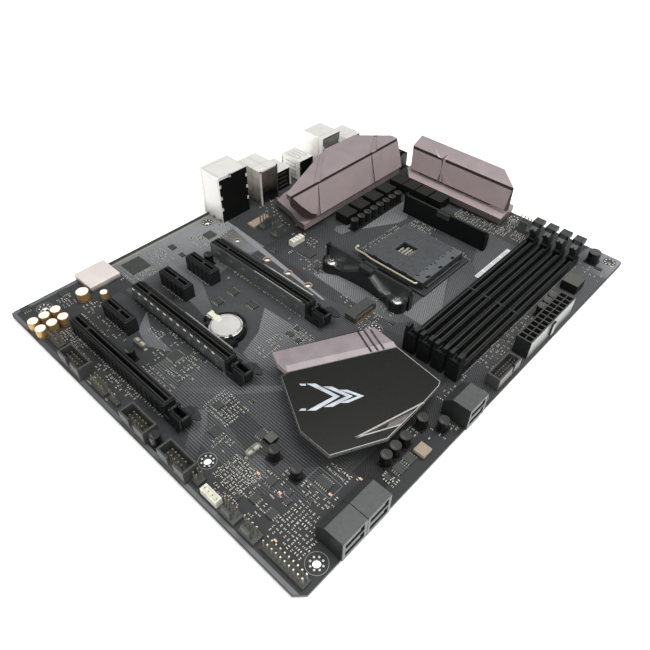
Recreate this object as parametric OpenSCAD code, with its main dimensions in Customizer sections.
// Full-size desktop computer motherboard, built as separate named pieces.
// Every piece is laid out in board coordinates: u runs from the rear connector edge to the front edge,
// v from the expansion-slot edge to the power-stage edge, and z = 0 is the top face of the board.
// on_board() moves that frame so that the whole assembly stands centred on the floor.

/* [Board] */
// Depth of the board, rear edge to front edge
board_w = 243.84; // [200:0.01:243.84]
// Length of the board
board_l = 304.8; // [290:0.1:304.8]
// Laminate thickness
board_t = 1.6; // [1.2:0.1:2.4]
// Diameter of the mounting holes
hole_d = 3.96; // [3:0.01:4.5]
// Radius of the rounded board corners
corner_r = 3; // [1:0.5:4]
// Length of the solder tails and thickness of the cooler back plate
tail_h = 2.2; // [1.5:0.1:3]

/* [Expansion slots] */
// Pitch between neighbouring slots
slot_pitch = 20.32; // [20.32]
// Distance of the first slot from the board edge
slot_v0 = 21.4; // [18:0.1:24]
// Rear end of every slot body
slot_u0 = 42; // [38:0.5:46]
// Width of a slot body
slot_w = 7.5; // [6.5:0.1:8.5]
// Height of a slot body
slot_h = 11.2; // [10:0.1:12]
// Length of a long slot body
long_slot = 89; // [85:0.5:90]
// Length of a short slot body
short_slot = 25; // [22:0.5:28]

/* [Memory sockets] */
// Centre of the first memory socket
dimm_u0 = 190.4; // [188:0.1:192]
// Pitch between memory sockets
dimm_pitch = 9.6; // [9:0.1:10.5]
// Width of a memory socket body
dimm_w = 6.6; // [6:0.1:7.2]
// Height of a memory socket body
dimm_h = 7.2; // [6.5:0.1:8]
// Height of the fixed end tower
tower_h = 18.5; // [16:0.5:20]

/* [Processor area] */
// Centre of the cooler hole pattern across the board
cpu_u = 136; // [134:0.5:138]
// Centre of the cooler hole pattern along the board
cpu_v = 209.5; // [207:0.5:212]
// Cooler hole spacing across the board
cooler_du = 54; // [54]
// Cooler hole spacing along the board
cooler_dv = 90; // [90]
// Travel of the socket cover when the lever is lifted
cover_travel = 1.2; // [0.8:0.1:1.5]

/* [Heatsinks] */
// Height of the power-stage heatsinks above the board
vrm_top = 31; // [26:0.5:34]
// Height of the chipset heatsink above the board
chipset_top = 12; // [9:0.5:14]

/* [Rear connectors] */
// How far the connector shells stand out past the rear edge
rear_out = 2; // [1:0.1:3]
// Height of the audio jack block
audio_h = 35.5; // [33:0.5:37]
// Height of the network and serial port block
lan_h = 27.3; // [25:0.1:30]

/* [Hidden] */

$fn = 48;
front_out = 0.9;
sata_face = board_w + front_out;
mid_u = (sata_face - rear_out) / 2;
mid_v = board_l / 2;
board_z = tail_h + board_t;
hole_r = hole_d / 2;

// Mounting holes, in board coordinates
rear_col = 10.16;
mid_col = 165.1;
front_col = 237.49;
low_row = 16.51;
mid_row = 140.97;
rear_top_row = 275.59;
top_row = 298.45;
mount_holes = [[rear_col, low_row], [rear_col, mid_row], [rear_col, rear_top_row],
    [mid_col, low_row], [mid_col, mid_row], [mid_col, top_row],
    [front_col, low_row], [front_col, mid_row], [front_col, top_row]];

// Storage-card standoff holes at the four standard card lengths
m2_u = 146;
m2_v = 142;
m2_contact_u = 151.5;
m2_lengths = [110, 80, 60, 42];
m2_hole_r = 1.9;
cooler_hole_r = 2.1;

// Slots: index of each long, armoured and short slot counted from the board edge
long_slots = [0, 2, 5];
armoured_slots = [2, 5];
short_slots = [1, 3, 4];
key_u = 55.2;
key_w = 1.8;
groove_w = 2;
groove_floor = 3.6;
armour_in = slot_w / 2 + 0.05;
armour_t = 0.5;
latch_u = slot_u0 + long_slot + 0.6;
latch_u1 = 145;
latch_half = 3.4;
latch_pivot_u = 139;
latch_pivot_z = 2.6;
latch_pin_r = 0.9;
cheek_gap = 0.15;
cheek_t = 0.85;
pin_clearance = 0.08;

// Memory sockets
dimm_v0 = 145.2;
dimm_v1 = 271.4;
dimm_key_v = 203.5;
tower_v0 = 139.5;
dimm_cheek_v1 = 281;
dimm_cheek_h = 6.4;
dimm_cheek_t = 1;
dimm_latch_v1 = 283.6;
dimm_latch_h = 19.5;
dimm_latch_half = 2.1;
dimm_pivot_v = 277.8;
dimm_pivot_z = 3.2;
dimm_pin_r = 0.8;

// Processor socket
cover_u0 = 118.3;
cover_u1 = 156.9;
socket_u0 = cover_u0 - cover_travel - 1.7;
socket_u1 = 169.3;
socket_v0 = 183.6;
socket_v1 = 233.4;
cover_v0 = 187.2;
cover_v1 = 230.6;
socket_top = 7;
window_half = 5.6;
window_v = cpu_v - 1.7;
housing_u0 = 157.2;
housing_u1 = 165.2;
housing_v0 = 186.6;
housing_v1 = 230.6;
lever_axis_u = 161;
lever_v = 185.1;
lever_z = 5.2;
lever_r = 0.8;
lever_bar_v = 228.4;
lever_tip_u = 109.4;

// ---------- shared shapes ----------

module on_board() {
    translate([-mid_u, -mid_v, board_z]) children();
}

module block(a, b) {
    translate(a) cube([b[0] - a[0], b[1] - a[1], b[2] - a[2]]);
}

// A block given by its two ends along u, v and z, in either order
module span(u, v, z) {
    translate([min(u), min(v), min(z)]) cube([abs(u[1] - u[0]), abs(v[1] - v[0]), abs(z[1] - z[0])]);
}

module post(u, v, z0, z1, r) {
    translate([u, v, z0]) cylinder(h = z1 - z0, r = r);
}

// A prism with the given outline standing between two heights
module prism(outline, z0, z1) {
    translate([0, 0, z0]) linear_extrude(height = z1 - z0) polygon(outline);
}

// A profile drawn in (u, z) and run along v between two stations
module run_along_v(profile, v0, v1) {
    translate([0, v1, 0]) rotate([90, 0, 0]) linear_extrude(height = v1 - v0) polygon(profile);
}

// A profile drawn in (v, z) and run along u between two stations
module run_along_u(profile, u0, u1) {
    translate([u0, 0, 0]) rotate([90, 0, 90]) linear_extrude(height = u1 - u0) polygon(profile);
}

function arc(cx, cy, r, a0, a1, n) =
    [for (i = [0:n]) [cx + r * cos(a0 + (a1 - a0) * i / n), cy + r * sin(a0 + (a1 - a0) * i / n)]];

function slot_v(k) = slot_v0 + slot_pitch * k;
function dimm_u(i) = dimm_u0 + dimm_pitch * i;

// ---------- board ----------

module pcb() {
    chamfer = 4.5;
    outline = concat(
        arc(corner_r, corner_r, corner_r, 180, 270, 6),
        [[board_w - chamfer, 0], [board_w, chamfer]],
        arc(board_w - corner_r, board_l - corner_r, corner_r, 0, 90, 6),
        arc(corner_r, board_l - corner_r, corner_r, 90, 180, 6));
    color("#26282a") on_board() difference() {
        prism(outline, -board_t, 0);
        for (h = mount_holes) post(h[0], h[1], -board_t - 1, 1, hole_r);
        for (su = [-1, 1], sv = [-1, 1])
            post(cpu_u + su * cooler_du / 2, cpu_v + sv * cooler_dv / 2, -board_t - 1, 1,
                cooler_hole_r);
        for (len = m2_lengths) post(m2_contact_u - len, m2_v, -board_t - 1, 1, m2_hole_r);
    }
}

// One soldered tail under the board
module tail(u, v) {
    block([u - 0.3, v - 0.3, -board_t - tail_h], [u + 0.3, v + 0.3, -board_t]);
}

module solder_tails_slots() {
    row = 1.6;
    step = 4;
    color("silver") on_board() for (side = [-1, 1]) {
        for (k = long_slots, u = [slot_u0 + 3:step:slot_u0 + long_slot - 3])
            tail(u, slot_v(k) + side * row);
        for (k = short_slots, u = [slot_u0 + 3:step:slot_u0 + short_slot - 3])
            tail(u, slot_v(k) + side * row);
    }
}

module solder_tails_memory() {
    step = 6;
    color("silver") on_board()
        for (i = [0:3], side = [-1, 1], v = [dimm_v0 + 3:step:dimm_v1 - 3]) tail(dimm_u(i) + side * 1.9, v);
}

module cooler_backplate() {
    boss_r = 5;
    core = [20, 36];
    neck_half = 12;
    window = 11;
    half_u = cooler_du / 2;
    half_v = cooler_dv / 2;
    thickness = [-board_t - tail_h, -board_t];
    color("#3a3b3d") on_board() translate([cpu_u, cpu_v, 0]) difference() {
        union() {
            span([-core[0], core[0]], [-core[1], core[1]], thickness);
            for (sv = [-1, 1]) {
                span([-half_u - boss_r, half_u + boss_r], [sv * (half_v - 6), sv * (half_v + 2)], thickness);
                span([-neck_half, neck_half], [sv * (core[1] - 2), sv * (half_v - 1)], thickness);
            }
            for (su = [-1, 1], sv = [-1, 1])
                post(su * half_u, sv * half_v, thickness[0], thickness[1], boss_r);
        }
        for (su = [-1, 1], sv = [-1, 1])
            post(su * half_u, sv * half_v, thickness[0] - 1, 0, screw_r + 0.05);
        span([-window, window], [-window, window], [thickness[0] - 1, 0]);
    }
}

// ---------- processor cooler brackets ----------

bracket_h = 15;
bracket_v = 39.5;
ear_r = 6;
screw_seat = 4.4;
screw_r = 1.7;
screw_head_r = 3.6;

// The bracket is drawn beside the origin with its inner wall on v = 0 and the ears on the +v side
module bracket_body() {
    ear_v = cooler_dv / 2 - bracket_v;
    half = cooler_du / 2;
    difference() {
        union() {
            block([-half - 6, 0, 0], [half + 7, 2.4, bracket_h]);
            // foot behind the wall
            prism([[-half - 5, 0.9], [-half - 4.4, ear_v], [-half, ear_v + 4.6], [-half + 5, ear_v + 2],
                [-14, 7.5], [-9, 13.6], [9, 13.6], [14, 7.5], [half - 5, ear_v + 2], [half, ear_v + 4.6],
                [half + 4.4, ear_v], [half + 5, 0.9]], 0, 3);
            // tall cups around the screws
            for (s = [-1, 1]) post(s * half, ear_v, 0, 9.5, ear_r);
            // central spine and clip lug
            block([-5.5, 1.2, 0], [5.5, 12.6, 9]);
            block([-4, 1.4, 0], [4, 14.6, 5.5]);
            block([-5, -1.6, bracket_h - 4.2], [5, 1, bracket_h]);
            // sloping webs from the spine down to the cups
            for (s = [-1, 1])
                run_along_v([[s * 5, 0], [s * 20.6, 0], [s * 20.6, 4.2], [s * 8, 8.6], [s * 5, 8.6]],
                    1.6, 6.2);
        }
        for (s = [-1, 1]) {
            post(s * half, ear_v, screw_seat, 20, ear_r - 1.3);
            post(s * half, ear_v, -1, 20, 1.95);
        }
    }
}

module cooler_bracket_near() {
    color("#1b1c1d") on_board() translate([cpu_u, cpu_v - bracket_v, 0]) mirror([0, 1, 0]) bracket_body();
}

module cooler_bracket_far() {
    color("#1b1c1d") on_board() translate([cpu_u, cpu_v + bracket_v, 0]) bracket_body();
}

module bracket_screws() {
    color("silver") on_board() for (su = [-1, 1], sv = [-1, 1])
        translate([cpu_u + su * cooler_du / 2, cpu_v + sv * cooler_dv / 2, 0]) difference() {
            union() {
                post(0, 0, -board_t - tail_h + 0.4, screw_seat, screw_r);
                post(0, 0, screw_seat, screw_seat + 1.6, screw_head_r);
                translate([0, 0, screw_seat + 1.6])
                    cylinder(h = 0.9, r1 = screw_head_r, r2 = screw_head_r - 0.9);
            }
            for (turn = [0, 90]) rotate([0, 0, turn]) block([-1.9, -0.4, screw_seat + 1.2], [1.9, 0.4, 20]);
        }
}

// ---------- processor socket ----------

// Square opening through the middle of the socket
module socket_window() {
    reach = [-window_half, window_half];
    translate([cpu_u, window_v, 0]) span(reach, reach, [-1, 8]);
}

module cpu_socket_base() {
    color("#3c3e41") on_board() difference() {
        union() {
            block([socket_u0, socket_v0, 0], [socket_u1, socket_v1, 1.5]);
            block([cover_u0 + 1.4, cover_v0 + 0.4, 1.5], [cover_u1 - 0.4, cover_v1 - 0.4, 5.4]);
            // cam housing with the lever's bar running through it
            block([housing_u0, housing_v0, 1.5], [housing_u1, housing_v1, socket_top + 0.2]);
            block([housing_u1, 190, 1.5], [housing_u1 + 1.6, 226, 3]);
            block([cover_u0, 183.7, 1.5], [housing_u0, 184, 3.2]);
            block([112.4, 187.6, 1.5], [116.6, 189, 4.6]);
        }
        socket_window();
        translate([lever_axis_u, lever_bar_v + 0.4, lever_z]) rotate([90, 0, 0])
            cylinder(h = 50, r = lever_r + pin_clearance);
        for (v = [189.6:7.6:228]) block([housing_u0 + 0.3, v, 6.6], [housing_u0 + 1.2, v + 1.2, 8]);
        for (v = [193.4:13:222]) block([housing_u1 - 1.5, v, 6.2], [housing_u1 - 0.4, v + 2.6, 8]);
    }
}

// The sliding cover over the contact field
module cpu_socket_cover() {
    color("#56585c") on_board() difference() {
        block([cover_u0, cover_v0, socket_top - 1.4], [cover_u1, cover_v1, socket_top]);
        socket_window();
        for (u = [124:12:150]) block([u, cover_v0 - 1, 5], [u + 4, cover_v0 + 0.8, 8]);
    }
}

// The wire lever: a cam bar under the strip, an arm along the near side and a hooked free end
module cpu_socket_lever() {
    jog_u = 120.5;
    bend_fn = 16;
    color("#c8bda0") on_board() {
        translate([lever_axis_u, lever_bar_v, lever_z]) rotate([90, 0, 0])
            cylinder(h = lever_bar_v - lever_v, r = lever_r);
        translate([lever_axis_u, lever_v, lever_z]) sphere(r = lever_r, $fn = bend_fn);
        translate([jog_u + 3, lever_v, lever_z]) rotate([0, 90, 0])
            cylinder(h = lever_axis_u - jog_u - 3, r = lever_r);
        hull() {
            translate([jog_u + 3, lever_v, lever_z]) sphere(r = lever_r, $fn = bend_fn);
            translate([jog_u - 1, lever_v + 0.9, lever_z]) sphere(r = lever_r, $fn = bend_fn);
        }
        translate([lever_tip_u + 1.6, lever_v + 0.9, lever_z]) rotate([0, 90, 0])
            cylinder(h = jog_u - lever_tip_u - 2.6, r = lever_r);
        hull() {
            translate([lever_tip_u + 1.6, lever_v + 0.9, lever_z])
                sphere(r = lever_r, $fn = bend_fn);
            translate([lever_tip_u, lever_v + 2.6, lever_z]) sphere(r = lever_r, $fn = bend_fn);
        }
        hull() {
            translate([lever_tip_u, lever_v + 2.6, lever_z]) sphere(r = lever_r, $fn = bend_fn);
            translate([lever_tip_u + 0.2, lever_v + 5, lever_z]) sphere(r = lever_r, $fn = bend_fn);
        }
    }
}

// ---------- power stage ----------

groove_d = 1.6;
pad_top = 2.6;
ledge_z = 7.2;
skirt_z = 10;
left_top = vrm_top - 2;
left_brow = 61.6;
left_lip = 70.8;
left_slope = (left_lip - left_brow) / (left_top - skirt_z);

// Left heatsink: a low base, a recessed core and a bent cap with one long and two slanting grooves
module vrm_heatsink_left() {
    skin = 3.6;
    cap = [[left_lip, skirt_z], [left_brow, left_top], [28, left_top], [28, left_top - skin],
        [left_brow - 2.2, left_top - skin], [66.4, skirt_z + 1], [69.4, skirt_z - 1.2]];
    core = [[40, ledge_z], [65.6, ledge_z], [66.4, skirt_z + 1.2], [left_brow - 2.2, left_top - skin + 0.1],
        [40, left_top - skin + 0.1]];
    base_outline = [[68.8, 180], [60.3, 180.7], [51.3, 184.6], [32.7, 188.3], [29.5, 199], [29.5, 286],
        [68.8, 286]];
    cap_outline = [[57, 175.2], [61.4, 174.6], [65.6, 180.4], [69.2, 187], [71.4, 196], [71.4, 285.2],
        [66, 287.6], [left_brow, 289], [55.3, 289.3], [34.6, 269.3], [33.7, 236.4]];
    color("#978688") on_board() difference() {
        union() {
            prism(base_outline, pad_top, ledge_z);
            intersection() {
                run_along_v(core, 170, 292);
                prism([[52, 190], [62, 191], [68, 198], [68, 281], [58, 284], [42, 270], [41, 232]], 0, 40);
            }
            intersection() {
                run_along_v(cap, 170, 292);
                prism(cap_outline, 0, 40);
            }
        }
        run_along_v([[left_brow, left_top - groove_d], [left_brow + 1.4, left_top - groove_d],
            [left_brow + 1.4, left_top + 1], [left_brow, left_top + 1]], 160, 300);
        prism([[60.5, 197.6], [62, 203.2], [34.4, 236], [33.2, 233]], left_top - 0.7, 40);
        prism([[61, 257.5], [62.7, 262.6], [47.5, 281.6], [46, 279.6]], left_top - 0.7, 40);
        for (notch = [[201.3, 189.9, 193.7], [258.2, 247.5, 253.3]]) left_slope_notch(notch);
    }
}

// A wedge sunk in the sloping face: apex station at the brow, two stations at the skirt
module left_slope_notch(v) {
    depth = 0.8;
    tilt = atan(left_slope);
    translate([left_brow, 0, left_top]) rotate([0, -tilt, 0]) rotate([90, 0, 90])
        translate([0, 0, -depth]) linear_extrude(height = 6)
            polygon([[v[0], -0.5], [v[1], -23], [v[2], -23]]);
}

// Top heatsink beside the board's far edge, with the same base, core and cap
module vrm_heatsink_top() {
    lip_z = vrm_top - 3.6;
    skin = 3.2;
    cap = [[288.2, skirt_z], [289.8, lip_z], [303, vrm_top], [303, vrm_top - skin], [292.6, lip_z - 2.6],
        [291.2, skirt_z + 0.8], [289.6, skirt_z - 1.2]];
    core = [[291, ledge_z], [303, ledge_z], [303, vrm_top - skin + 0.1], [292.5, lip_z - 2.5]];
    cap_outline = [[74.5, 303], [75.8, 291], [79.2, 286], [158.4, 286], [162.6, 290.5], [147, 303]];
    color("#a29796") on_board() difference() {
        union() {
            prism([[82, 281], [163, 281], [160.5, 303], [72, 303], [72, 292]], pad_top, ledge_z);
            run_along_u(core, 84, 148);
            intersection() {
                run_along_u(cap, 70, 170);
                prism(cap_outline, 0, 40);
            }
        }
        run_along_u([[289, lip_z - groove_d], [290.6, lip_z - groove_d], [290.6, 40], [289, 40]], 60, 175);
        // wedge in the top face, deepest at the long groove
        intersection() {
            prism([[89.2, 299], [100.2, 289], [105.4, 289]], 20, 40);
            run_along_u([[288, lip_z - 1.2], [299.2, lip_z + 2.5], [299.2, 40], [288, 40]], 80, 110);
        }
        // wedge in the front face, deepest at the lip
        translate([0, 289.2, 0]) rotate([90, 0, 0]) linear_extrude(height = 5)
            polygon([[103.2, 19.1], [107.6, 8], [113.4, 8]]);
    }
}

module vrm_thermal_pads() {
    color("#9aa0a6") on_board() {
        block([50, 192, 1.6], [62, 284, 2.6]);
        block([86, 285, 1.6], [156, 297, 2.6]);
    }
}

module vrm_mosfets() {
    color("#232425") on_board() {
        for (v = [196:11:280]) block([51, v, 0], [61, v + 8, 1.6]);
        for (u = [88:11:150]) block([u, 286, 0], [u + 8, 296, 1.6]);
    }
}

// One moulded choke: a square block with a slightly narrower foot
module choke(u, v, size, h) {
    half = size / 2;
    block([u - half + 0.5, v - half + 0.5, 0], [u + half - 0.5, v + half - 0.5, 1]);
    block([u - half, v - half, 1], [u + half, v + half, h]);
}

module vrm_chokes() {
    size = 11.2;
    color("#4b4c4a") on_board() {
        for (v = [212.8, 227.3, 242.2, 256.9]) choke(78.8, v, size, 7.5);
        for (u = [78.8, 90.6, 102.6, 115]) choke(u, 274, size, 7.5);
    }
}

// A polymer capacitor: a short can on a square foot
module can(u, v, r, h) {
    block([u - r, v - r, 0], [u + r, v + r, 0.8]);
    post(u, v, 0.8, h, r - 0.15);
}

module vrm_capacitors() {
    color("#5d5c58") on_board() for (i = [0:7]) can(90.2, 208.4 + 6.9 * i, 3.1, 8);
}

module polymer_capacitors() {
    spots = [[187.2, 39.6], [202.3, 39.6], [227.5, 88.9], [227.5, 81.1], [227.5, 74.2], [227, 103.4],
        [235.6, 109.4], [83.5, 29], [139.8, 5.6], [48, 112.5], [229.2, 232.6], [229.2, 226.2],
        [229.2, 219.3]];
    color("#4c4b48") on_board() {
        for (p = spots) can(p[0], p[1], 3.1, 8);
        can(228.6, 290.4, 4, 8.4);
    }
}

module power_chokes() {
    color("#6d6a63") on_board() {
        choke(231, 256, 10.8, 7);
        choke(236.6, 91.4, 6.6, 3.2);
        choke(178.6, 45.6, 5.4, 3);
        block([33, 159, 0], [39.6, 176, 1.8]);
    }
}

// ---------- memory ----------

module dimm_slot(i) {
    u = dimm_u(i);
    half = dimm_w / 2;
    slit = 1.1;
    post_w = 3.9;
    difference() {
        union() {
            block([u - half, dimm_v0, 0], [u + half, dimm_v1, dimm_h]);
            // fixed end tower with two prongs
            block([u - post_w, tower_v0, 0], [u + post_w, dimm_v0, tower_h - 4]);
            for (s = [-1, 1]) {
                span([u + s * (post_w - 2.2), u + s * post_w], [tower_v0 + 0.6, dimm_v0 - 0.8],
                    [tower_h - 4, tower_h]);
                // cheeks that hold the latch
                span([u + s * (half - dimm_cheek_t), u + s * half], [dimm_v1, dimm_cheek_v1],
                    [0, dimm_cheek_h]);
            }
            block([u - half, dimm_v1, 0], [u + half, dimm_cheek_v1, 0.9]);
        }
        translate([u - half - 1, dimm_pivot_v, dimm_pivot_z]) rotate([0, 90, 0])
            cylinder(h = dimm_w + 2, r = dimm_pin_r + pin_clearance);
        // card groove, split by the key
        block([u - slit, tower_v0 + 1.6, 2.4], [u + slit, dimm_key_v - 0.8, 30]);
        block([u - slit, dimm_key_v + 0.8, 2.4], [u + slit, dimm_v1 + 1, 30]);
        // slim relief lines along both shoulders
        for (s = [-1, 1])
            span([u + s * 2.2, u + s * 2.8], [dimm_v0 + 1, dimm_v1 - 1], [dimm_h - 0.8, dimm_h + 1]);
    }
}

module dimm_slot_1() { color("#202122") on_board() dimm_slot(0); }
module dimm_slot_2() { color("#202122") on_board() dimm_slot(1); }
module dimm_slot_3() { color("#202122") on_board() dimm_slot(2); }
module dimm_slot_4() { color("#202122") on_board() dimm_slot(3); }

module dimm_latch(i) {
    u = dimm_u(i);
    foot_r = 2.1;
    side = [[dimm_pivot_v - foot_r, dimm_pivot_z], [dimm_pivot_v + foot_r, dimm_pivot_z], [281.4, 8],
        [dimm_latch_v1, 15.6], [dimm_latch_v1, dimm_latch_h], [277, dimm_latch_h], [275.6, 17],
        [272.4, 15.8], [272.4, 13.4], [274.6, 12.2], [274.6, 8.4], [dimm_pivot_v - 3.6, 7.4]];
    on_board() {
        translate([u - dimm_latch_half - 0.8, dimm_pivot_v, dimm_pivot_z]) rotate([0, 90, 0])
            cylinder(h = 2 * dimm_latch_half + 1.6, r = dimm_pin_r);
        translate([u - dimm_latch_half, dimm_pivot_v, dimm_pivot_z]) rotate([0, 90, 0])
            cylinder(h = 2 * dimm_latch_half, r = foot_r);
        run_along_u(side, u - dimm_latch_half, u + dimm_latch_half);
        block([u - 3.4, 277, 16.4], [u + 3.4, dimm_latch_v1, dimm_latch_h]);
    }
}

module dimm_latch_1() { color("#4a4c4d") dimm_latch(0); }
module dimm_latch_2() { color("#4a4c4d") dimm_latch(1); }
module dimm_latch_3() { color("#4a4c4d") dimm_latch(2); }
module dimm_latch_4() { color("#4a4c4d") dimm_latch(3); }

// ---------- expansion slots ----------

module slot_body(k, len) {
    v = slot_v(k);
    half = slot_w / 2;
    difference() {
        union() {
            block([slot_u0, v - half, 0], [slot_u0 + len, v + half, slot_h - 1]);
            block([slot_u0 + 0.6, v - half + 0.6, slot_h - 1], [slot_u0 + len - 0.6, v + half - 0.6, slot_h]);
        }
        block([slot_u0 + 1.5, v - groove_w / 2, groove_floor], [key_u, v + groove_w / 2, slot_h + 1]);
        block([key_u + key_w, v - groove_w / 2, groove_floor],
            [slot_u0 + len - 1.5, v + groove_w / 2, slot_h + 1]);
        for (s = [-1, 1])
            block([slot_u0 + 1.5, v + s * 2.3 - 0.35, slot_h - 0.9],
                [slot_u0 + len - 1.5, v + s * 2.3 + 0.35, slot_h + 1]);
    }
}

// A long slot carries two bored cheeks in which its card latch turns
module long_slot_body(k) {
    inner = latch_half + cheek_gap;
    slot_body(k, long_slot);
    translate([0, slot_v(k), 0]) difference() {
        for (s = [-1, 1])
            span([slot_u0 + long_slot - 1, latch_pivot_u + 2], [s * inner, s * (inner + cheek_t)],
                [0, latch_pivot_z + 1.6]);
        translate([latch_pivot_u, inner + 2, latch_pivot_z]) rotate([90, 0, 0])
            cylinder(h = 2 * inner + 4, r = latch_pin_r + pin_clearance);
    }
}

module pcie_x16_slot_1() { color("#242526") on_board() long_slot_body(0); }
module pcie_x16_slot_2() { color("#242526") on_board() long_slot_body(2); }
module pcie_x16_slot_3() { color("#242526") on_board() long_slot_body(5); }
module pcie_x1_slots() { color("#242526") on_board() for (k = short_slots) slot_body(k, short_slot); }

// Folded metal shells along both sides of the two reinforced slots
module pcie_slot_armour() {
    u0 = slot_u0 + 1.6;
    u1 = slot_u0 + long_slot - 1.4;
    outer = armour_in + armour_t;
    color("#6f7173") on_board() for (k = armoured_slots, s = [-1, 1]) translate([0, slot_v(k), 0]) {
        span([u0, u1], [s * armour_in, s * outer], [0, slot_h + 0.1]);
        span([u0 + 2, u1 - 2], [s * armour_in, s * (outer + 0.5)], [slot_h + 0.1, slot_h + 0.6]);
        for (u = [u0 + 6:12:u1 - 4]) span([u, u + 3], [s * outer, s * (outer + 0.5)], [3, 7]);
    }
}

// Card retainer at the end of a long slot: a hooked frame with a thumb wing on each side
module pcie_latch(k) {
    v = slot_v(k);
    on_board() difference() {
        union() {
            run_along_v([[latch_u, 1.2], [latch_pivot_u + 2, 1.2], [latch_u1, 4.2],
                [latch_u1, slot_h + 0.6], [latch_u, slot_h + 0.6]], v - latch_half, v + latch_half);
            run_along_v([[135.4, 6.6], [148.4, 7.6], [148.4, 9.2], [135.4, 9.6]],
                v + latch_half - 0.1, v + 6.8);
            run_along_v([[134.4, 5.2], [149, 5.8], [149, 7.4], [134.4, 8]],
                v - 8.2, v - latch_half + 0.1);
            translate([latch_pivot_u, v + latch_half + 0.8, latch_pivot_z]) rotate([90, 0, 0])
                cylinder(h = 2 * latch_half + 1.6, r = latch_pin_r);
        }
        block([latch_u + 1.6, v - 1.2, 6], [latch_u1 - 1.8, v + 1.2, 20]);
        block([latch_u - 1, v - 1.2, 4], [latch_u + 2, v + 1.2, 9.4]);
    }
}

module pcie_latch_1() { color("#303234") pcie_latch(0); }
module pcie_latch_2() { color("#303234") pcie_latch(2); }
module pcie_latch_3() { color("#303234") pcie_latch(5); }

// ---------- chipset ----------

plate_outline = [[160, 75], [159.6, 70.7], [191, 53.1], [210.5, 52.7], [224.1, 78.8], [223.5, 109.2],
    [222.6, 122.5], [221.4, 125.4], [190, 129.2]];
strip_outline = [[144.2, 79.3], [151.6, 75.8], [160, 75], [190, 129.2], [186, 130.6], [171, 132.1]];

module chipset_heatsink() {
    base_z = 2.8;
    color("#a3949a") on_board() difference() {
        union() {
            prism([[164, 78], [192, 60], [206, 60], [216, 80], [214, 116], [190, 121], [176, 122]],
                base_z, chipset_top - 2.2);
            prism(strip_outline, chipset_top - 3.6, chipset_top);
            prism([[160, 75], [172, 92], [190, 129.2], [160.4, 76]], chipset_top - 3.6, chipset_top - 2.2);
        }
        // three slanting vents in the exposed strip
        for (i = [0:2]) translate([174.5 + 1.9 * i, 119.9 + 3.1 * i, 0]) rotate([0, 0, -23.5])
            block([-8.4, -0.65, chipset_top - 1.6], [8.4, 0.65, 20]);
    }
}

module chipset_cover_plate() {
    color("#2b2a29") on_board() difference() {
        prism(plate_outline, chipset_top - 2.2, chipset_top);
        // triangular window that shows the body underneath
        prism([[213.6, 71.2], [225, 90.6], [225, 107]], chipset_top - 1, chipset_top + 1);
    }
}

module chipset_package() {
    color("#2f3f36") on_board() {
        block([176, 80, 0], [200, 104, 1.2]);
        block([182, 86, 1.2], [194, 98, 2.1]);
        block([181, 85, 2.1], [195, 99, 2.8]);
    }
}

// ---------- battery ----------

cell_u = 104.5;
cell_v = 79.5;
cell_r = 10;

module battery_holder() {
    color("#1c1d1e") on_board() difference() {
        union() {
            post(cell_u, cell_v, 0, 4.6, cell_r + 1.9);
            block([cell_u - 16.5, cell_v - 3.6, 0], [cell_u - 9, cell_v + 3.6, 3.4]);
            block([cell_u + 6, cell_v - 9, 0], [cell_u + 13.6, cell_v - 3, 4.2]);
        }
        post(cell_u, cell_v, 2.2, 10, cell_r + 0.2);
        block([cell_u - 15, cell_v - 1.8, 1.6], [cell_u - 9, cell_v + 1.8, 10]);
    }
}

module coin_cell() {
    color("#dcdcda") on_board() {
        post(cell_u, cell_v, 2.3, 4.9, cell_r);
        post(cell_u, cell_v, 4.9, 5.5, cell_r - 0.8);
    }
}

// Spring strip that presses on the side of the cell
module battery_contact() {
    color("#c9c3b0") on_board() {
        block([cell_u - 14.8, cell_v - 1.6, 1.6], [cell_u - 14.2, cell_v + 1.6, 5.7]);
        block([cell_u - 14.8, cell_v - 1.6, 5.7], [cell_u - 8.6, cell_v + 1.6, 6.1]);
        block([cell_u - 10.9, cell_v - 1.3, 2.4], [cell_u - 10.5, cell_v + 1.3, 5.7]);
    }
}

// ---------- connectors on the board ----------

module m2_connector() {
    color("#2c2d2e") on_board() difference() {
        block([m2_u, m2_v - 6, 0], [m2_u + 8, m2_v + 13.5, 4.1]);
        block([m2_u - 1, m2_v - 4.2, 1.6], [m2_u + 5, m2_v + 11.7, 2.7]);
        block([m2_u + 6.6, m2_v - 4, 2.6], [m2_u + 9, m2_v + 11.5, 5]);
    }
}

cell_pitch = 4.2;
atx_u0 = 232.4;
atx_v0 = 181.4;
atx_h = 12.8;
eps_u0 = 45.6;
eps_v0 = 292.6;

// A two-row power socket of square cells, drawn with its cells along v
module power_housing(cells, u0, v0) {
    len = cells * cell_pitch + 1.2;
    difference() {
        union() {
            block([u0, v0, 0], [u0 + 9.6, v0 + len, atx_h]);
            block([u0 + 9.6, v0 + len / 2 - 2, 2], [u0 + 10.8, v0 + len / 2 + 2, atx_h - 2]);
        }
        for (c = [0:cells - 1], r = [0, 1])
            block([u0 + 0.95 + r * cell_pitch, v0 + 0.95 + c * cell_pitch, 2],
                [u0 + 0.95 + r * cell_pitch + 3.5, v0 + 0.95 + c * cell_pitch + 3.3, 20]);
    }
}

// One square pin in the middle of every cell
module power_pin_grid(cells, u0, v0) {
    for (c = [0:cells - 1], r = [0, 1])
        block([u0 + 2.2 + r * cell_pitch, v0 + 2.1 + c * cell_pitch, 2],
            [u0 + 3.2 + r * cell_pitch, v0 + 3.1 + c * cell_pitch, 9]);
}

module atx_power_connector() {
    color("#2a2b2c") on_board() power_housing(12, atx_u0, atx_v0);
}

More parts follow.
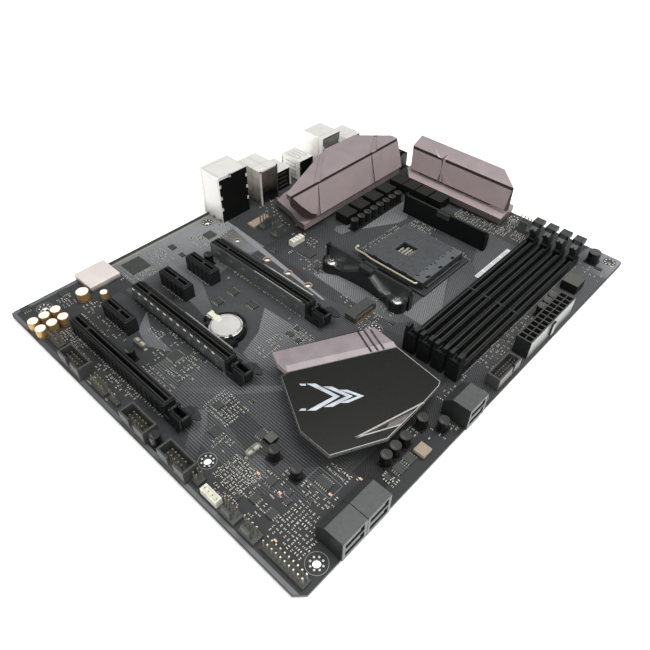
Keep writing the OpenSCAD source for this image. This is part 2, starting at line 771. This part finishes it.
// The processor power socket lies along u with its catch towards the board edge
module eps_power_connector() {
    color("#2a2b2c") on_board() translate([eps_u0, eps_v0, 0]) mirror([1, -1, 0]) power_housing(4, 0, 0);
}

module power_pins() {
    color("#c9b27a") on_board() {
        power_pin_grid(12, atx_u0, atx_v0);
        translate([eps_u0, eps_v0, 0]) mirror([1, -1, 0]) power_pin_grid(4, 0, 0);
    }
}

usb3_u0 = 234.6;
usb3_v0 = 149.8;
usb3_len = 22;
usb3_w = 8;

module usb3_header() {
    color("#1f2021") on_board() difference() {
        block([usb3_u0, usb3_v0, 0], [usb3_u0 + usb3_w, usb3_v0 + usb3_len, 9]);
        block([usb3_u0 + 1, usb3_v0 + 1.2, 2], [usb3_u0 + usb3_w - 1.2, usb3_v0 + usb3_len - 1.2, 10]);
        block([usb3_u0 + usb3_w - 2, usb3_v0 + 13.2, 3], [usb3_u0 + usb3_w + 1, usb3_v0 + 15.4, 10]);
    }
}

sata_back = 229;
sata_h = 15;
sata_w = 15.9;
sata_starts = [24.3, 40.3, 117.2];

// A stacked pair of right-angle drive sockets, mouths towards the front edge
module sata_connectors() {
    lip = 235.3;
    color("#5b5c5e") on_board() for (v = sata_starts) difference() {
        run_along_v([[sata_back, 0], [sata_face, 0], [sata_face, sata_h], [lip - 1.2, sata_h],
            [sata_back, sata_h - 4.6]], v, v + sata_w - 0.1);
        for (z = [2.6, 8.8]) {
            block([sata_back + 4, v + 1.8, z], [sata_face + 1, v + sata_w - 2, z + 3.1]);
            block([sata_back + 4, v + sata_w - 4.6, z], [sata_face + 1, v + sata_w - 2, z + 4.6]);
        }
    }
}

// Box headers, plain pin strips and small header bases along the board's edge
box_spots = [[57.2, 5.6], [116, 5.6], [147.6, 5.6]];
box_len = 20.4;
box_w = 8.8;
front_panel_u = 216;
strip_h = 2.5;
pin_pitch = 2.54;

module box_header(u, v) {
    difference() {
        block([u, v - box_w / 2, 0], [u + box_len, v + box_w / 2, 9]);
        block([u + 1.1, v - box_w / 2 + 1.1, 2], [u + box_len - 1.1, v + box_w / 2 - 1.1, 10]);
        block([u + box_len / 2 - 2.2, v - box_w, 3], [u + box_len / 2 + 2.2, v - 2, 10]);
    }
}

module pin_strip(u, v, cols, rows) {
    block([u, v, 0], [u + cols * pin_pitch, v + rows * pin_pitch, strip_h]);
}

module pin_headers() {
    color("#1d1e1f") on_board() {
        for (b = box_spots) box_header(b[0], b[1]);
        pin_strip(front_panel_u, 4.2, 10, 2);
        pin_strip(84, 3.4, 5, 2);
        pin_strip(99.4, 4.6, 3, 1);
        pin_strip(36, 4.8, 5, 2);
        pin_strip(168.6, 4.4, 2, 2);
    }
}

fan_spots = [[190, 3, 0], [203, 3, 0], [172, 287, 0], [46.6, 161.6, 90], [60, 161, 90]];

// Four-pin fan header: a low base with a tall polarising wall behind the pins
module fan_headers() {
    color("#3f4143") on_board() {
        for (f = fan_spots) translate([f[0], f[1], 0]) rotate([0, 0, f[2]]) {
            block([0, 0, 0], [10.2, 6, 2.8]);
            block([2.2, 0, 2.8], [8, 1.2, 8.6]);
        }
        // light strip header and a small board-side socket
        difference() {
            block([176.5, 3.4, 0], [187.6, 7.4, 4.6]);
            block([177.6, 4.3, 1.2], [186.5, 6.5, 6]);
        }
        block([70.6, 163, 0], [75, 174, 4]);
    }
}

// Square pins at the standard header pitch
module pins(u, v, cols, rows, top) {
    for (c = [0:cols - 1], r = [0:rows - 1])
        block([u + (c + 0.5) * pin_pitch - 0.32, v + (r + 0.5) * pin_pitch - 0.32, strip_h - 0.5],
            [u + (c + 0.5) * pin_pitch + 0.32, v + (r + 0.5) * pin_pitch + 0.32, top]);
}

module header_pins() {
    color("#c8a552") on_board() {
        for (b = box_spots, c = [0:4], r = [0, 1])
            block([b[0] + 5.1 + c * pin_pitch - 0.32, b[1] - 1.27 + r * pin_pitch - 0.32, 2],
                [b[0] + 5.1 + c * pin_pitch + 0.32, b[1] - 1.27 + r * pin_pitch + 0.32, 7.8]);
        for (f = fan_spots, c = [0:3]) translate([f[0], f[1], 0]) rotate([0, 0, f[2]])
            block([1 + c * pin_pitch, 3.6, 2.8], [1.64 + c * pin_pitch, 4.24, 11.4]);
        for (c = [0:9], r = [0, 1])
            block([usb3_u0 + 2.7 + r * 2.1, usb3_v0 + 2 + c * 1.95, 2],
                [usb3_u0 + 3.2 + r * 2.1, usb3_v0 + 2.5 + c * 1.95, 7]);
        translate([0, 0, 0.5]) {
            pins(front_panel_u, 4.2, 10, 2, 8);
            pins(84, 3.4, 5, 2, 8);
            pins(99.4, 4.6, 3, 1, 8);
            pins(36, 4.8, 5, 2, 8);
            pins(168.6, 4.4, 2, 2, 8);
        }
    }
}

// ---------- sound section ----------

module audio_shield() {
    color("#d8d8d6") on_board() difference() {
        block([-0.6, 43.6, 0], [18.6, 64.6, 4.2]);
        block([0, 44.2, -1], [18, 64, 3.8]);
    }
}

module audio_capacitors() {
    color("#d8b45a") on_board() {
        for (u = [22.9, 31.6], v = [18.4, 11.4, 4.4]) post(u, v, 0, 6.4, 3.2);
        post(20.6, 37.4, 0, 6.8, 3.9);
        post(29.4, 46.6, 0, 6, 2.4);
    }
}

// ---------- surface-mounted packages ----------

module chip_packages() {
    color("#2b2c2d") on_board() {
        // corner and footprint of every package
        chips = [[9, 71, 13.5, 13.5], [20, 129, 7, 7], [95.5, 43.5, 7, 7], [77, 103, 7, 4.2],
            [95, 103, 7, 4.2], [77, 90.6, 7, 4.2], [170.2, 42.6, 5.4, 4.4], [194.6, 16.4, 4, 5],
            [205.6, 16.4, 4, 5], [209.4, 44.4, 8.6, 4.2], [193, 28, 4.6, 4.6], [141, 39, 4.6, 4.6],
            [231.6, 81.6, 5.6, 5], [231.6, 74, 5.6, 5], [3.5, 28.5, 5, 6.2], [1.6, 5.4, 4.2, 5.4],
            [152, 27, 6, 6], [63, 132.6, 9, 6]];
        for (c = chips) block([c[0], c[1], 0], [c[0] + c[2], c[1] + c[3], 1.1]);
    }
}

module crystals() {
    color("#cfcfcc") on_board() {
        hull() for (u = [75, 80.8]) post(u, 38.6, 0, 3, 1.9);
        hull() for (v = [32.4, 37.4]) post(177.4, v, 0, 3, 1.9);
    }
}

// ---------- rear connectors ----------

jack_r = 1.8;
jack_v = [154.8, 167.6];
jack_z = [6.6, 18.2, 29.6];
jack_depth = [[14, 13.4, 12.8], [0, 12.2, 11.6]];

module audio_jack_block() {
    color("#3b3b3c") on_board() difference() {
        block([-rear_out, 148.8, 0], [19, 173.6, audio_h]);
        for (column = [0, 1], row = [0:2]) if (jack_depth[column][row] > 0)
            translate([-rear_out - 1, jack_v[column], jack_z[row]]) rotate([0, 90, 0])
                cylinder(h = jack_depth[column][row] + 1, r = jack_r);
        block([-rear_out - 1, jack_v[1] - 4.4, jack_z[0] - 4.2],
            [8, jack_v[1] + 4.4, jack_z[0] + 4.2]);
    }
}

lan_v = 191.5;
lan_half = 8.5;

module lan_usb_block() {
    color("#c9c9c8") on_board() difference() {
        block([-rear_out, lan_v - lan_half, 0], [21.5, lan_v + lan_half, lan_h]);
        block([-rear_out - 1, lan_v - 5.9, 15.6], [12, lan_v + 5.9, 24]);
        for (z = [4.2, 10.8]) usb_pair_mouth(lan_v, z);
    }
}

// One flat serial-bus mouth opening towards the rear, with its contact tongue left standing
module usb_pair_mouth(v, z) {
    difference() {
        block([-rear_out - 1, v - 6.1, z - 2.6], [10, v + 6.1, z + 2.6]);
        block([-rear_out + 0.6, v - 5.2, z + 0.1], [11, v + 5.2, z + 1.9]);
    }
}

module usb_tower(v0, v1, h, depth) {
    difference() {
        block([-rear_out, v0, 0], [depth, v1, h]);
        for (z = [4.4, 11.6]) usb_pair_mouth((v0 + v1) / 2, z);
    }
}

module usb_stack_low() {
    color("#8e9090") on_board() usb_tower(204.6, 218.2, 15.7, 16.5);
}

module usb_stack_sprung() {
    color("#cfd0cf") on_board() {
        usb_tower(226.6, 241, 16.4, 18);
        block([-rear_out, 225.8, 15.4], [-rear_out + 1, 226.6, 16.4]);
        block([-rear_out, 241, 15.4], [-rear_out + 1, 241.8, 16.4]);
    }
}

display_v0 = 250.6;
display_v1 = 269.8;

module display_port_block() {
    mid = (display_v0 + display_v1) / 2;
    color("#d0d1d0") on_board() difference() {
        block([-rear_out, display_v0, 0], [19.5, display_v1, 27]);
        for (z = [7, 19.4]) difference() {
            block([-rear_out - 1, mid - 8, z - 3], [11, mid + 8, z + 3]);
            block([-rear_out + 0.6, mid - 6.6, z - 0.7], [12, mid + 6.6, z + 0.7]);
        }
    }
}

module ps2_port_block() {
    color("#cfcfce") on_board() difference() {
        block([-rear_out, 281.4, 0], [17.4, 297.2, 15.6]);
        translate([-rear_out - 1, 289.3, 7.8]) rotate([0, 90, 0]) cylinder(h = 11, r = 4.7);
    }
}

pcb();
solder_tails_slots();
solder_tails_memory();
cooler_backplate();
cooler_bracket_near();
cooler_bracket_far();
bracket_screws();
cpu_socket_base();
cpu_socket_cover();
cpu_socket_lever();
vrm_heatsink_left();
vrm_heatsink_top();
vrm_thermal_pads();
vrm_mosfets();
vrm_chokes();
vrm_capacitors();
dimm_slot_1();
dimm_slot_2();
dimm_slot_3();
dimm_slot_4();
dimm_latch_1();
dimm_latch_2();
dimm_latch_3();
dimm_latch_4();
pcie_x16_slot_1();
pcie_x16_slot_2();
pcie_x16_slot_3();
pcie_x1_slots();
pcie_slot_armour();
pcie_latch_1();
pcie_latch_2();
pcie_latch_3();
chipset_heatsink();
chipset_cover_plate();
chipset_package();
battery_holder();
coin_cell();
battery_contact();
m2_connector();
atx_power_connector();
eps_power_connector();
power_pins();
usb3_header();
sata_connectors();
pin_headers();
fan_headers();
header_pins();
audio_shield();
audio_capacitors();
polymer_capacitors();
power_chokes();
chip_packages();
crystals();
audio_jack_block();
lan_usb_block();
usb_stack_low();
usb_stack_sprung();
display_port_block();
ps2_port_block();
